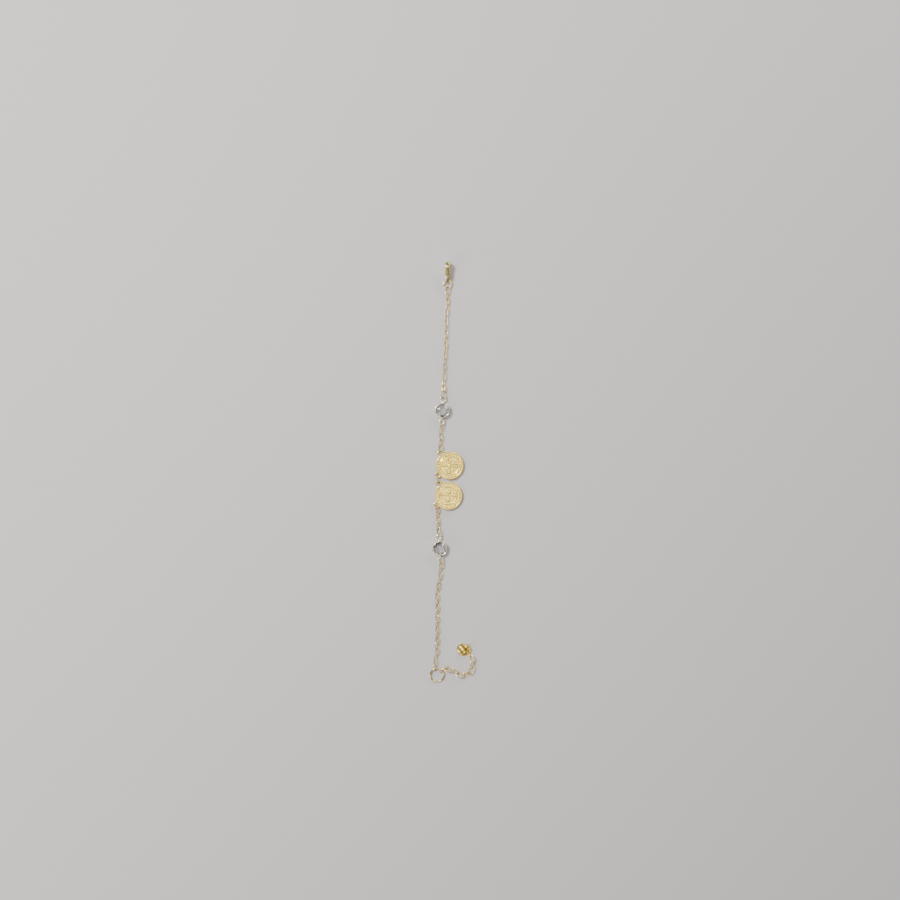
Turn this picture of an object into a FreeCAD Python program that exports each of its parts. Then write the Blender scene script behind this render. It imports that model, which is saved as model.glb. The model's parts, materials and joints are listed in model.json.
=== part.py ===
import FreeCAD, Part
import math
import os
import Sketcher
from FreeCAD import Placement, Rotation, Vector

# A bracelet chain laid out flat: lobster clasp, cable chain, two crystal settings,
# two round medals, end ring, extender chain and a ribbed charm.
# Millimetres. +Y runs towards the clasp and +Z is up from the surface it lies on.
# Origin: the middle of the laid-out chain's bounding box, at its lowest level.

SIZES = {
    # ordinary cable links
    "cable_length": 3.28,
    "cable_width": 2.0,
    "cable_wire": 0.4,
    # the first link, at the clasp's jump ring
    "first_length": 3.7,
    "first_width": 2.3,
    "first_wire": 0.4,
    # the larger links beside the medals and the lower setting
    "large_length": 3.68,
    "large_width": 2.4,
    "large_wire": 0.45,
    # extender links
    "extender_length": 3.88,
    "extender_width": 2.54,
    "extender_wire": 0.47,
    # round rings: diameter over the wire, and the wire
    "jump_ring_diameter": 4.1,
    "jump_ring_wire": 0.65,
    "connector_diameter": 3.7,
    "connector_wire": 0.5,
    "end_ring_diameter": 6.6,
    "end_ring_wire": 0.65,
    "charm_ring_diameter": 2.1,
    "charm_ring_wire": 0.35,
    # the small soldered loops on the settings, medals and charm
    "eyelet_diameter": 2.8,
    "eyelet_wire": 0.55,
    "charm_loop_diameter": 1.5,
    "charm_loop_wire": 0.4,
    # crystal settings
    "bezel_radius": 3.25,
    "bezel_height": 2.4,
    "bezel_foot_radius": 2.7,
    "bezel_bore_radius": 3.03,
    "bezel_back_radius": 2.35,
    "eyelet_distance": 5.1,
    "eyelet_level": 1.26,
    "eyelet_post_radius": 0.3,
    "stone_radius": 2.95,
    "stone_table_radius": 1.6,
    "stone_culet_radius": 0.3,
    # medals
    "medal_radius": 6.1,
    "medal_rim_height": 1.5,
    "medal_field_height": 1.1,
    "medal_rim_width": 0.55,
    "medal_ear_distance": 6.6,
    "medal_ear_level": 0.9,
    "medal_bead_radius": 0.22,
    "medal_bead_circle": 4.85,
    # clasp
    "clasp_thickness": 2.3,
    "clasp_eye_radius": 1.15,
    "clasp_eye_hole": 0.62,
    "clasp_head_radius": 2.3,
    "clasp_head_distance": 5.9,
    "clasp_mouth_radius": 1.3,
    "clasp_slot_width": 1.1,
    "clasp_lever_width": 1.0,
    "clasp_rivet_radius": 0.3,
    "clasp_rivet_bore": 0.33,
    "clasp_spring_width": 0.8,
    # charm
    "charm_radius": 2.7,
    "charm_height": 1.7,
    "charm_rib_radius": 0.3,
    "charm_loop_distance": 2.95,
    "charm_loop_level": 0.85,
}

# slack between the two wires of a joint, beyond touching
LINK_PLAY = 0.09
EXTENDER_PLAY = 0.2
LOOP_PLAY = 0.2
END_PLAY = 0.55

# joint heights above the surface
CABLE_LEVEL = 0.77
LARGE_LEVEL = 0.96
EXTENDER_LEVEL = 0.89
RING_LEVEL = 0.93

ROLL = 45.0

doc = FreeCAD.newDocument("bracelet")
sheet = doc.addObject("Spreadsheet::Sheet", "sizes")
nodes = {}


def fill_sheet():
    for row, (word, value) in enumerate(SIZES.items(), 1):
        sheet.set("A%d" % row, word)
        sheet.set("B%d" % row, str(value))
        sheet.setAlias("B%d" % row, word)
    doc.recompute()


def size(word):
    return SIZES[word]


def keep(node, thing):
    thing.Label = node
    nodes[node] = thing
    return thing


# ---------------------------------------------------------------- sketch helpers


def origin_plane(body, role):
    return next(f for f in body.Origin.OriginFeatures if f.Role == role)


def new_sketch(body, name, role, offset=None):
    sketch = body.newObject("Sketcher::SketchObject", name)
    sketch.AttachmentSupport = [(origin_plane(body, role), "")]
    sketch.MapMode = "FlatFace"
    if offset is not None:
        sketch.AttachmentOffset = offset
    return sketch


def bind(sketch, constraint, word, formula):
    number = sketch.addConstraint(constraint)
    sketch.renameConstraint(number, word)
    sketch.setExpression("Constraints." + word, formula)


def polygon(sketch, points):
    first = sketch.GeometryCount
    count = len(points)
    for number in range(count):
        a = points[number]
        b = points[(number + 1) % count]
        sketch.addGeometry(Part.LineSegment(Vector(*a, 0), Vector(*b, 0)), False)
    for number in range(count):
        sketch.addConstraint(
            Sketcher.Constraint("Coincident", first + number, 2, first + (number + 1) % count, 1)
        )
    return first


def arc(sketch, centre, radius, start, end):
    circle = Part.Circle(Vector(*centre, 0), Vector(0, 0, 1), radius)
    return sketch.addGeometry(
        Part.ArcOfCircle(circle, math.radians(start), math.radians(end)), False
    )


def pad(body, name, sketch, formula, middle=True, reverse=False):
    feature = body.newObject("PartDesign::Pad", name)
    feature.Profile = sketch
    feature.setExpression("Length", formula)
    feature.Midplane = middle
    feature.Reversed = reverse
    return feature


def pocket(body, name, sketch, formula, middle=True):
    feature = body.newObject("PartDesign::Pocket", name)
    feature.Profile = sketch
    feature.setExpression("Length", formula)
    feature.Midplane = middle
    return feature


def spin(body, name, sketch, axis="V_Axis", angle=360.0):
    feature = body.newObject("PartDesign::Revolution", name)
    feature.Profile = sketch
    feature.ReferenceAxis = (sketch, [axis])
    feature.Angle = angle
    return feature


# ---------------------------------------------------------------- links and rings


def oval_link(name, kind):
    """A round wire bent into a stadium, along local X, in the local XY plane."""
    wire = size(kind + "_wire")
    bend = (size(kind + "_width") - wire) / 2
    half = (size(kind + "_length") - size(kind + "_width")) / 2
    body = doc.addObject("PartDesign::Body", name)
    path = new_sketch(body, name + "_path", "XY_Plane")
    make = Sketcher.Constraint
    path.addGeometry(Part.LineSegment(Vector(0, bend, 0), Vector(-half, bend, 0)), False)
    arc(path, (-half, 0), bend, 90, 270)
    path.addGeometry(Part.LineSegment(Vector(-half, -bend, 0), Vector(half, -bend, 0)), False)
    arc(path, (half, 0), bend, -90, 90)
    path.addGeometry(Part.LineSegment(Vector(half, bend, 0), Vector(0, bend, 0)), False)
    path.addConstraint(
        [
            make("PointOnObject", 0, 1, -2),
            make("Horizontal", 0),
            make("Horizontal", 2),
            make("Horizontal", 4),
            make("Tangent", 0, 2, 1, 1),
            make("Tangent", 1, 2, 2, 1),
            make("Tangent", 2, 2, 3, 1),
            make("Tangent", 3, 2, 4, 1),
            make("Coincident", 4, 2, 0, 1),
            make("PointOnObject", 1, 3, -1),
            make("Equal", 0, 4),
        ]
    )
    bind(path, make("Radius", 1, bend), "bend", "(sizes.%s_width - sizes.%s_wire) / 2" % (kind, kind))
    bind(
        path,
        make("DistanceX", 1, 3, 3, 3, 2 * half),
        "straight",
        "sizes.%s_length - sizes.%s_width" % (kind, kind),
    )
    profile = new_sketch(body, name + "_wire", "YZ_Plane")
    profile.addGeometry(Part.Circle(Vector(bend, 0, 0), Vector(0, 0, 1), wire / 2), False)
    profile.addConstraint(make("PointOnObject", 0, 3, -1))
    bind(
        profile,
        make("DistanceX", -1, 1, 0, 3, bend),
        "offset",
        "(sizes.%s_width - sizes.%s_wire) / 2" % (kind, kind),
    )
    bind(profile, make("Radius", 0, wire / 2), "wire", "sizes.%s_wire / 2" % kind)
    sweep = body.newObject("PartDesign::AdditivePipe", name + "_sweep")
    sweep.Profile = profile
    sweep.Spine = (path, ["Edge%d" % number for number in range(1, 6)])
    return body


def round_ring(name, kind):
    ring = doc.addObject("Part::Torus", name)
    ring.setExpression("Radius1", "(sizes.%s_diameter - sizes.%s_wire) / 2" % (kind, kind))
    ring.setExpression("Radius2", "sizes.%s_wire / 2" % kind)
    return ring


# ---------------------------------------------------------------- settings and stones


def bezel_cup(name):
    """The open-backed cup that holds a stone, revolved about local Z."""
    radius = size("bezel_radius")
    top = size("bezel_height")
    foot = size("bezel_foot_radius")
    bore = size("bezel_bore_radius")
    back = size("bezel_back_radius")
    body = doc.addObject("PartDesign::Body", name + "_cup")
    sketch = new_sketch(body, name + "_profile", "XZ_Plane")
    points = [
        (back, 0),
        (foot, 0),
        (radius, 0.7),
        (radius, top - 0.25),
        (radius - 0.12, top),
        (radius - 0.30, top),
        (bore - 0.15, top - 0.35),
        (bore, top - 0.45),
        (bore, 1.68),
        (back, 1.3),
    ]
    polygon(sketch, points)
    make = Sketcher.Constraint
    sketch.addConstraint(make("PointOnObject", 0, 1, -1))
    sketch.addConstraint(make("Horizontal", 0))
    sketch.addConstraint(make("Vertical", 2))
    sketch.addConstraint(make("Vertical", 9))
    bind(sketch, make("DistanceX", -1, 1, 0, 1, back), "back", "sizes.bezel_back_radius")
    bind(sketch, make("DistanceX", -1, 1, 2, 1, radius), "outer", "sizes.bezel_radius")
    bind(sketch, make("DistanceX", -1, 1, 0, 2, foot), "foot", "sizes.bezel_foot_radius")
    bind(sketch, make("DistanceY", -1, 1, 4, 1, top), "top", "sizes.bezel_height")
    spin(body, name + "_turned", sketch)
    return body


def eyelet(name, kind, distance, level, place):
    """A soldered loop lying flat, its centre along local X."""
    loop = round_ring(name, kind)
    loop.setExpression("Placement.Base.x", "%g * sizes.%s" % (place, distance))
    loop.setExpression("Placement.Base.z", "sizes.%s" % level)
    return loop


def crystal_setting(node):
    """Bezel cup with a loop soldered on at each end."""
    pieces = [bezel_cup(node)]
    for number, side in enumerate((-1, 1), 1):
        pieces.append(
            eyelet("%s_eyelet_%d" % (node, number), "eyelet", "eyelet_distance", "eyelet_level", side)
        )
        post = doc.addObject("Part::Cylinder", "%s_post_%d" % (node, number))
        post.setExpression("Radius", "sizes.eyelet_post_radius")
        near = size("eyelet_distance") - (size("eyelet_diameter") - size("eyelet_wire")) / 2
        start = size("bezel_radius") - 0.12
        post.Height = near - start
        post.Placement = Placement(
            Vector(side * start, 0, size("eyelet_level")), Rotation(Vector(0, 1, 0), 90 * side)
        )
        pieces.append(post)
    whole = doc.addObject("Part::MultiFuse", node + "_whole")
    whole.Shapes = pieces
    return keep(node, whole)


def crystal(node):
    """A twelve-sided faceted stone, table up."""
    sections = []
    rows = (
        ("culet", "stone_culet_radius", 0.5),
        ("girdle_low", "stone_radius", 1.75),
        ("girdle_high", "stone_radius", 1.92),
        ("table", "stone_table_radius", 2.85),
    )
    for word, radius, level in rows:
        outline = doc.addObject("Part::RegularPolygon", "%s_%s" % (node, word))
        outline.Polygon = 12
        outline.setExpression("Circumradius", "sizes." + radius)
        outline.Placement = Placement(Vector(0, 0, level), Rotation())
        sections.append(outline)
    stone = doc.addObject("Part::Loft", node + "_stone")
    stone.Sections = sections
    stone.Solid = True
    stone.Ruled = True
    return keep(node, stone)


# ---------------------------------------------------------------- medals


def medal_disc(name):
    """A struck disc with a raised rim on both faces."""
    radius = size("medal_radius")
    rim = size("medal_rim_height")
    field = size("medal_field_height")
    width = size("medal_rim_width")
    step = (rim - field) / 2
    body = doc.addObject("PartDesign::Body", name + "_disc")
    sketch = new_sketch(body, name + "_profile", "XZ_Plane")
    points = [
        (0, step),
        (radius - width - 0.15, step),
        (radius - width, 0),
        (radius - 0.12, 0),
        (radius, 0.2),
        (radius, rim - 0.2),
        (radius - 0.12, rim),
        (radius - width, rim),
        (radius - width - 0.15, rim - step),
        (0, rim - step),
    ]
    polygon(sketch, points)
    make = Sketcher.Constraint
    sketch.addConstraint(make("PointOnObject", 0, 1, -2))
    sketch.addConstraint(make("Vertical", 9))
    sketch.addConstraint(make("Vertical", 4))
    sketch.addConstraint(make("PointOnObject", 2, 1, -1))
    bind(sketch, make("DistanceX", -1, 1, 4, 1, radius), "outer", "sizes.medal_radius")
    bind(sketch, make("DistanceY", -1, 1, 6, 1, rim), "rim", "sizes.medal_rim_height")
    spin(body, name + "_turned", sketch)
    beads = new_sketch(
        body, name + "_bead", "XY_Plane", Placement(Vector(0, 0, rim - step - 0.05), Rotation())
    )
    beads.addGeometry(
        Part.Circle(
            Vector(size("medal_bead_circle"), 0, 0), Vector(0, 0, 1), size("medal_bead_radius")
        ),
        False,
    )
    beads.addConstraint(make("PointOnObject", 0, 3, -1))
    bind(beads, make("Radius", 0, size("medal_bead_radius")), "bead", "sizes.medal_bead_radius")
    bind(
        beads,
        make("DistanceX", -1, 1, 0, 3, size("medal_bead_circle")),
        "circle",
        "sizes.medal_bead_circle",
    )
    bead = body.newObject("PartDesign::Pad", name + "_bead_pad")
    bead.Profile = beads
    bead.Length = 0.17
    row = body.newObject("PartDesign::PolarPattern", name + "_beads")
    row.Originals = [bead]
    row.Axis = (beads, ["N_Axis"])
    row.Angle = 360
    row.Occurrences = 24
    body.Tip = row
    return body


def raised(body, name, points, height):
    """A low raised figure on the upper field of a medal."""
    level = (size("medal_rim_height") + size("medal_field_height")) / 2 - 0.05
    sketch = new_sketch(body, name, "XY_Plane", Placement(Vector(0, 0, level), Rotation()))
    polygon(sketch, points)
    figure = body.newObject("PartDesign::Pad", name + "_pad")
    figure.Profile = sketch
    figure.Length = height + 0.05
    body.Tip = figure
    return figure


def plain_cross(body, name):
    """A plain cross with flared arms."""
    reach = 3.6
    arm = 0.42
    flare = 0.85
    points = []
    for quarter in range(4):
        turn = math.radians(90 * quarter)
        for along, across in ((reach, -flare), (reach, flare), (arm, arm)):
            points.append(
                (
                    along * math.cos(turn) - across * math.sin(turn),
                    along * math.sin(turn) + across * math.cos(turn),
                )
            )
    raised(body, name, points, 0.14)


def inner_ring(body, name):
    """A low ring and a bar across the middle."""
    level = (size("medal_rim_height") + size("medal_field_height")) / 2 - 0.05
    sketch = new_sketch(body, name, "XY_Plane", Placement(Vector(0, 0, level), Rotation()))
    for radius in (4.05, 3.7):
        sketch.addGeometry(Part.Circle(Vector(0, 0, 0), Vector(0, 0, 1), radius), False)
        sketch.addConstraint(
            Sketcher.Constraint("Coincident", sketch.GeometryCount - 1, 3, -1, 1)
        )
        sketch.addConstraint(Sketcher.Constraint("Radius", sketch.GeometryCount - 1, radius))
    ring = body.newObject("PartDesign::Pad", name + "_pad")
    ring.Profile = sketch
    ring.Length = 0.19
    body.Tip = ring
    raised(body, name + "_bar", [(-3.8, -0.14), (3.8, -0.14), (3.8, 0.14), (-3.8, 0.14)], 0.1)
    for side in (1, -1):
        points = []
        for corner in range(6):
            turn = math.radians(60 * corner)
            points.append((1.0 * math.cos(turn), side * 1.75 + 1.0 * math.sin(turn)))
        raised(body, "%s_boss_%d" % (name, 1 + (side < 0)), points, 0.12)


def medal(node, figure):
    """Disc with two flat ears, 90 degrees apart, at 45 degrees either side of local +X."""
    body = medal_disc(node)
    figure(body, node + "_figure")
    inner = size("eyelet_diameter") / 2 - size("eyelet_wire")
    holes = []
    ears = []
    for number, turn in enumerate((-45, 45), 1):
        centre = Vector(
            size("medal_ear_distance") * math.cos(math.radians(turn)),
            size("medal_ear_distance") * math.sin(math.radians(turn)),
            0,
        )
        hole = doc.addObject("Part::Cylinder", "%s_hole_%d" % (node, number))
        hole.Height = 3
        hole.Placement = Placement(centre + Vector(0, 0, -1), Rotation())
        hole.setExpression("Radius", "sizes.eyelet_diameter / 2 - sizes.eyelet_wire + 0.02")
        holes.append(hole)
        ear = round_ring("%s_ear_%d" % (node, number), "eyelet")
        ear.Placement = Placement(centre + Vector(0, 0, size("medal_ear_level")), Rotation())
        ear.setExpression("Placement.Base.z", "sizes.medal_ear_level")
        ears.append(ear)
    drills = doc.addObject("Part::MultiFuse", node + "_drills")
    drills.Shapes = holes
    drilled = doc.addObject("Part::Cut", node + "_drilled")
    drilled.Base = body
    drilled.Tool = drills
    whole = doc.addObject("Part::MultiFuse", node + "_whole")
    whole.Shapes = [drilled] + ears
    return keep(node, whole)


# ---------------------------------------------------------------- clasp

# Local X runs from the clasp's eye to its head, local Y is up and local Z across it.
PIVOT = (3.35, 0.8)
MOUTH = (6.05, 0.0)


def clasp_body():
    eye = size("clasp_eye_radius")
    head = size("clasp_head_radius")
    far = size("clasp_head_distance")
    body = doc.addObject("PartDesign::Body", "clasp_body")
    make = Sketcher.Constraint
    lean = math.degrees(math.asin((head - eye) / far))
    outline = new_sketch(body, "clasp_outline", "XY_Plane")
    arc(outline, (0, 0), eye, 90 + lean, 270 - lean)
    arc(outline, (far, 0), head, -90 - lean, 90 + lean)
    low = math.radians(270 - lean)
    high = math.radians(90 + lean)
    outline.addGeometry(
        Part.LineSegment(
            Vector(eye * math.cos(low), eye * math.sin(low), 0),
            Vector(far + head * math.cos(low), head * math.sin(low), 0),
        ),
        False,
    )
    outline.addGeometry(
        Part.LineSegment(
            Vector(far + head * math.cos(high), head * math.sin(high), 0),
            Vector(eye * math.cos(high), eye * math.sin(high), 0),
        ),
        False,
    )
    outline.addConstraint(
        [
            make("Coincident", 0, 3, -1, 1),
            make("PointOnObject", 1, 3, -1),
            make("Tangent", 0, 2, 2, 1),
            make("Tangent", 2, 2, 1, 1),
            make("Tangent", 1, 2, 3, 1),
            make("Tangent", 3, 2, 0, 1),
        ]
    )
    bind(outline, make("Radius", 0, eye), "eye", "sizes.clasp_eye_radius")
    bind(outline, make("Radius", 1, head), "head", "sizes.clasp_head_radius")
    bind(outline, make("DistanceX", -1, 1, 1, 3, far), "far", "sizes.clasp_head_distance")
    slab = pad(body, "clasp_slab", outline, "sizes.clasp_thickness")
    doc.recompute()
    round_over = body.newObject("PartDesign::Fillet", "clasp_rounding")
    edges = []
    for number, edge in enumerate(slab.Shape.Edges, 1):
        box = edge.BoundBox
        if box.ZLength < 1e-6:
            edges.append("Edge%d" % number)
    round_over.Base = (slab, edges)
    round_over.Radius = 0.5
    body.Tip = round_over

    thin = new_sketch(body, "clasp_eye_thinning", "XZ_Plane")
    for side in (1, -1):
        polygon(thin, [(-2, side * 0.55), (0.75, side * 0.55), (1.35, side * 1.3), (-2, side * 1.3)])
    pocket(body, "clasp_eye_flats", thin, "2 * sizes.clasp_head_radius + 1")

    holes = new_sketch(body, "clasp_holes", "XY_Plane")
    for centre, word, formula in (
        ((0, 0), "clasp_eye_hole", "sizes.clasp_eye_hole"),
        (MOUTH, "clasp_mouth_radius", "sizes.clasp_mouth_radius"),
        (PIVOT, "clasp_rivet_bore", "sizes.clasp_rivet_bore"),
    ):
        number = holes.addGeometry(
            Part.Circle(Vector(*centre, 0), Vector(0, 0, 1), size(word)), False
        )
        bind(holes, make("Radius", number, size(word)), word + "_r", formula)
    pocket(body, "clasp_bores", holes, "2 * sizes.clasp_thickness")

    gap = new_sketch(body, "clasp_gap_outline", "XY_Plane")
    reach = 3.34
    start = math.radians(46)
    end = math.radians(2)
    top = (PIVOT[0] + reach * math.cos(start), PIVOT[1] + reach * math.sin(start))
    bottom = (PIVOT[0] + reach * math.cos(end), PIVOT[1] + reach * math.sin(end))
    arc(gap, PIVOT, reach, 2, 46)
    for a, b in (
        (top, (4.3, 3.2)),
        ((4.3, 3.2), (4.3, 0.6)),
        ((4.3, 0.6), bottom),
    ):
        gap.addGeometry(Part.LineSegment(Vector(*a, 0), Vector(*b, 0)), False)
    gap.addConstraint(
        [
            make("Coincident", 0, 2, 1, 1),
            make("Coincident", 1, 2, 2, 1),
            make("Coincident", 2, 2, 3, 1),
            make("Coincident", 3, 2, 0, 1),
        ]
    )
    pocket(body, "clasp_gap", gap, "2 * sizes.clasp_thickness")

    slot = new_sketch(body, "clasp_slot_outline", "XY_Plane")
    polygon(slot, [(1.95, 0.2), (2.4, -0.4), (5.0, -0.4), (5.0, 3.2), (1.95, 3.2)])
    pocket(body, "clasp_slot", slot, "sizes.clasp_slot_width")
    return keep("clasp_body", body)


def clasp_lever():
    """A flat lever: hub on the rivet, thumb tab behind it and a beak that shuts the mouth."""
    body = doc.addObject("PartDesign::Body", "clasp_lever")
    sketch = new_sketch(body, "lever_outline", "XY_Plane")
    head = size("clasp_head_radius") - 0.03
    far = size("clasp_head_distance")
    points = []
    for turn in (80.5, 86, 91.5, 97, 101.2):
        points.append(
            (far + head * math.cos(math.radians(turn)), head * math.sin(math.radians(turn)))
        )
    points += [(3.85, 1.90), (3.40, 1.86), (3.02, 2.20), (2.66, 2.70), (2.38, 2.68), (2.28, 2.38)]
    points += [(2.52, 1.80), (2.68, 1.25)]
    for turn in (180, 205, 230, 255, 280, 305):
        points.append(
            (
                PIVOT[0] + 0.62 * math.cos(math.radians(turn)),
                PIVOT[1] + 0.62 * math.sin(math.radians(turn)),
            )
        )
    points += [(4.15, 0.62), (4.60, 1.02)]
    inner = size("clasp_mouth_radius") + 0.06
    for turn in (138, 124, 110, 96, 82, 70.5):
        points.append(
            (
                MOUTH[0] + inner * math.cos(math.radians(turn)),
                MOUTH[1] + inner * math.sin(math.radians(turn)),
            )
        )
    polygon(sketch, points)
    pad(body, "lever_plate", sketch, "sizes.clasp_lever_width")
    bore = new_sketch(body, "lever_bore_outline", "XY_Plane")
    bore.addGeometry(
        Part.Circle(Vector(*PIVOT, 0), Vector(0, 0, 1), size("clasp_rivet_bore")), False
    )
    bind(
        bore,
        Sketcher.Constraint("Radius", 0, size("clasp_rivet_bore")),
        "bore",
        "sizes.clasp_rivet_bore",
    )
    pocket(body, "lever_bore", bore, "2 * sizes.clasp_thickness")
    return keep("clasp_lever", body)


def clasp_rivet():
    pin = doc.addObject("Part::Cylinder", "rivet_pin")
    pin.setExpression("Radius", "sizes.clasp_rivet_radius")
    pin.setExpression("Height", "sizes.clasp_thickness - 0.1")
    pin.Placement = Placement(Vector(*PIVOT, 0.05 - size("clasp_thickness") / 2), Rotation())
    return keep("clasp_rivet", pin)


def clasp_spring():
    """A bent leaf under the lever's hub, one end near the slot's floor and one under the beak."""
    body = doc.addObject("PartDesign::Body", "clasp_spring")
    sketch = new_sketch(body, "spring_outline", "XY_Plane")
    outer = 1.17
    inner = 1.06
    arc(sketch, PIVOT, outer, -122, -4)
    arc(sketch, PIVOT, inner, -122, -4)
    for turn in (-122, -4):
        ray = Vector(math.cos(math.radians(turn)), math.sin(math.radians(turn)), 0)
        sketch.addGeometry(
            Part.LineSegment(Vector(*PIVOT, 0) + ray * inner, Vector(*PIVOT, 0) + ray * outer),
            False,
        )
    make = Sketcher.Constraint
    sketch.addConstraint(
        [
            make("Coincident", 1, 1, 2, 1),
            make("Coincident", 0, 1, 2, 2),
            make("Coincident", 1, 2, 3, 1),
            make("Coincident", 0, 2, 3, 2),
        ]
    )
    pad(body, "spring_leaf", sketch, "sizes.clasp_spring_width")
    return keep("clasp_spring", body)


# ---------------------------------------------------------------- charm


def shell_charm():
    """A low dome with three ribs over it and three pierced loops on its edge."""
    radius = size("charm_radius")
    height = size("charm_height")
    body = doc.addObject("PartDesign::Body", "charm_dome")
    make = Sketcher.Constraint
    sketch = new_sketch(body, "charm_profile", "XZ_Plane")
    edge = 0.45
    rise = height - edge
    sphere = (radius**2 + rise**2) / (2 * rise)
    centre = height - sphere
    spread = math.degrees(math.atan2(edge - centre, radius))
    arc(sketch, (0, centre), sphere, spread, 90)
    for a, b in (
        ((0, height), (0, 0)),
        ((0, 0), (radius - 0.15, 0)),
        ((radius - 0.15, 0), (radius, 0.15)),
        ((radius, 0.15), (radius, edge)),
    ):
        sketch.addGeometry(Part.LineSegment(Vector(*a, 0), Vector(*b, 0)), False)
    sketch.addConstraint(
        [
            make("Coincident", 0, 2, 1, 1),
            make("Coincident", 1, 2, 2, 1),
            make("Coincident", 2, 2, 3, 1),
            make("Coincident", 3, 2, 4, 1),
            make("Coincident", 4, 2, 0, 1),
            make("Coincident", 1, 2, -1, 1),
            make("Vertical", 1),
            make("Horizontal", 2),
            make("Vertical", 4),
            make("PointOnObject", 0, 3, -2),
        ]
    )
    bind(sketch, make("DistanceX", -1, 1, 4, 1, radius), "outer", "sizes.charm_radius")
    bind(sketch, make("DistanceY", -1, 1, 0, 2, height), "height", "sizes.charm_height")
    spin(body, "charm_turned", sketch)
    pieces = [body]
    rib = size("charm_rib_radius")
    for number, across in enumerate((-1.3, 0, 1.3), 1):
        bow = math.sqrt(sphere**2 - across**2)
        half = math.degrees(math.asin(min(1.0, math.sqrt(radius**2 - across**2) / bow)))
        ridge = doc.addObject("Part::Torus", "charm_rib_%d" % number)
        ridge.Radius1 = bow
        ridge.setExpression("Radius2", "sizes.charm_rib_radius")
        ridge.Angle3 = 2 * half - 6
        turn = Rotation(Vector(1, 0, 0), 90).multiply(Rotation(Vector(0, 0, 1), 93 - half))
        ridge.Placement = Placement(Vector(0, across, centre), turn)
        pieces.append(ridge)
    for number, turn in enumerate((-64, -30, 4), 1):
        loop = round_ring("charm_loop_%d" % number, "charm_loop")
        away = size("charm_loop_distance")
        loop.Placement = Placement(
            Vector(
                away * math.cos(math.radians(turn)),
                away * math.sin(math.radians(turn)),
                size("charm_loop_level"),
            ),
            Rotation(),
        )
        pieces.append(loop)
    solid = doc.addObject("Part::MultiFuse", "charm_solid")
    solid.Shapes = pieces
    holes = []
    for number, turn in enumerate((-64, -30, 4), 1):
        hole = doc.addObject("Part::Cylinder", "charm_hole_%d" % number)
        hole.setExpression("Radius", "sizes.charm_loop_diameter / 2 - sizes.charm_loop_wire + 0.01")
        hole.Height = 4
        away = size("charm_loop_distance")
        hole.Placement = Placement(
            Vector(away * math.cos(math.radians(turn)), away * math.sin(math.radians(turn)), -1),
            Rotation(),
        )
        holes.append(hole)
    drills = doc.addObject("Part::MultiFuse", "charm_drills")
    drills.Shapes = holes
    whole = doc.addObject("Part::Cut", "charm_whole")
    whole.Base = solid
    whole.Tool = drills
    return keep("shell_charm", whole)


# ---------------------------------------------------------------- layout
# Headings are degrees from straight down the chain (-Y), turning towards +X.
# Every loop's local X runs along the chain, away from the clasp.

UPPER_HEADINGS = (
    0.5, -0.5, -1.5, -5.5, -6.5, -2, 0.5, -1, -3, -2, -1.5, -3.5, -4, -2.5, -1.5, -3, -4, -2, -1
)
SHORT_A_HEADINGS = (-4, -5, -2, -1, -1)
SHORT_B_HEADINGS = (8, 1, 2, 4, 3)
LOWER_HEADINGS = (-8, -6, -12, -12, -5, 0, 1, -1, 0, 0.5, -0.5, 0, 1, -1, 0, -4, -12, -7, 6)
EXTENDER_HEADINGS = (117, 81, 49, 76, 111, 145, 178, 198)

# where each hinge stands: (one node, its neighbour) to a point
pivots = {}


def direction(heading, climb=0.0):
    flat = math.cos(math.radians(climb))
    return Vector(
        flat * math.sin(math.radians(heading)),
        -flat * math.cos(math.radians(heading)),
        math.sin(math.radians(climb)),
    )


def compass(angle):
    return Vector(math.cos(math.radians(angle)), math.sin(math.radians(angle)), 0)


def rotation(heading, roll=0.0, climb=0.0):
    turn = Rotation(Vector(0, 0, 1), heading - 90)
    lift = Rotation(Vector(0, 1, 0), -climb)
    bank = Rotation(Vector(1, 0, 0), roll)
    return turn.multiply(lift).multiply(bank)


def lap(wire_a, wire_b, play):
    """How far each loop's end reaches past the joint between them."""
    return (wire_a + wire_b + 2 * play) / 4


def loop_reach(kind, wire, play):
    """From a flat loop's centre to its joint with a neighbour of this wire."""
    own = size(kind + "_wire")
    return (size(kind + "_diameter") - own) / 2 - lap(own, wire, play)


def overall(kind):
    if kind + "_length" in SIZES:
        return size(kind + "_length")
    return size(kind + "_diameter")


def lay_run(point, items, before, after):
    """Lay loops end to end. Each item is (node, kind, heading, roll, level at its far joint)."""
    groups = {}
    last = None
    for number, (node, kind, heading, roll, level) in enumerate(items):
        wire = size(kind + "_wire")
        near = before
        if number:
            play = EXTENDER_PLAY if kind == "extender" else LINK_PLAY
            near = (size(items[number - 1][1] + "_wire"), play)
        far = after
        if number + 1 < len(items):
            play = EXTENDER_PLAY if kind == "extender" else LINK_PLAY
            far = (size(items[number + 1][1] + "_wire"), play)
        near_lap = lap(wire, *near)
        far_lap = lap(wire, *far)
        pitch = overall(kind) - wire - near_lap - far_lap
        climb = math.degrees(math.asin((level - point.z) / pitch))
        along = direction(heading, climb)
        centre = point + along * ((pitch + far_lap - near_lap) / 2)
        name = node
        if [item[0] for item in items].count(node) > 1:
            name = "%s_%s" % (node, "b" if node in groups else "a")
        build = round_ring if kind + "_diameter" in SIZES else oval_link
        loop = build(name + "_loop", kind)
        loop.Placement = Placement(centre, rotation(heading, roll, climb))
        groups.setdefault(node, []).append(loop)
        if last is not None and last != node:
            pivots[last, node] = point
        last = node
        point = point + along * pitch
    for node, loops in groups.items():
        if len(loops) == 1:
            keep(node, loops[0])
        else:
            pair = doc.addObject("Part::Compound", node + "_pair")
            pair.Links = loops
            keep(node, pair)
    return point


def rolls(count, first=ROLL):
    return [first if number % 2 == 0 else -first for number in range(count)]


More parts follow.
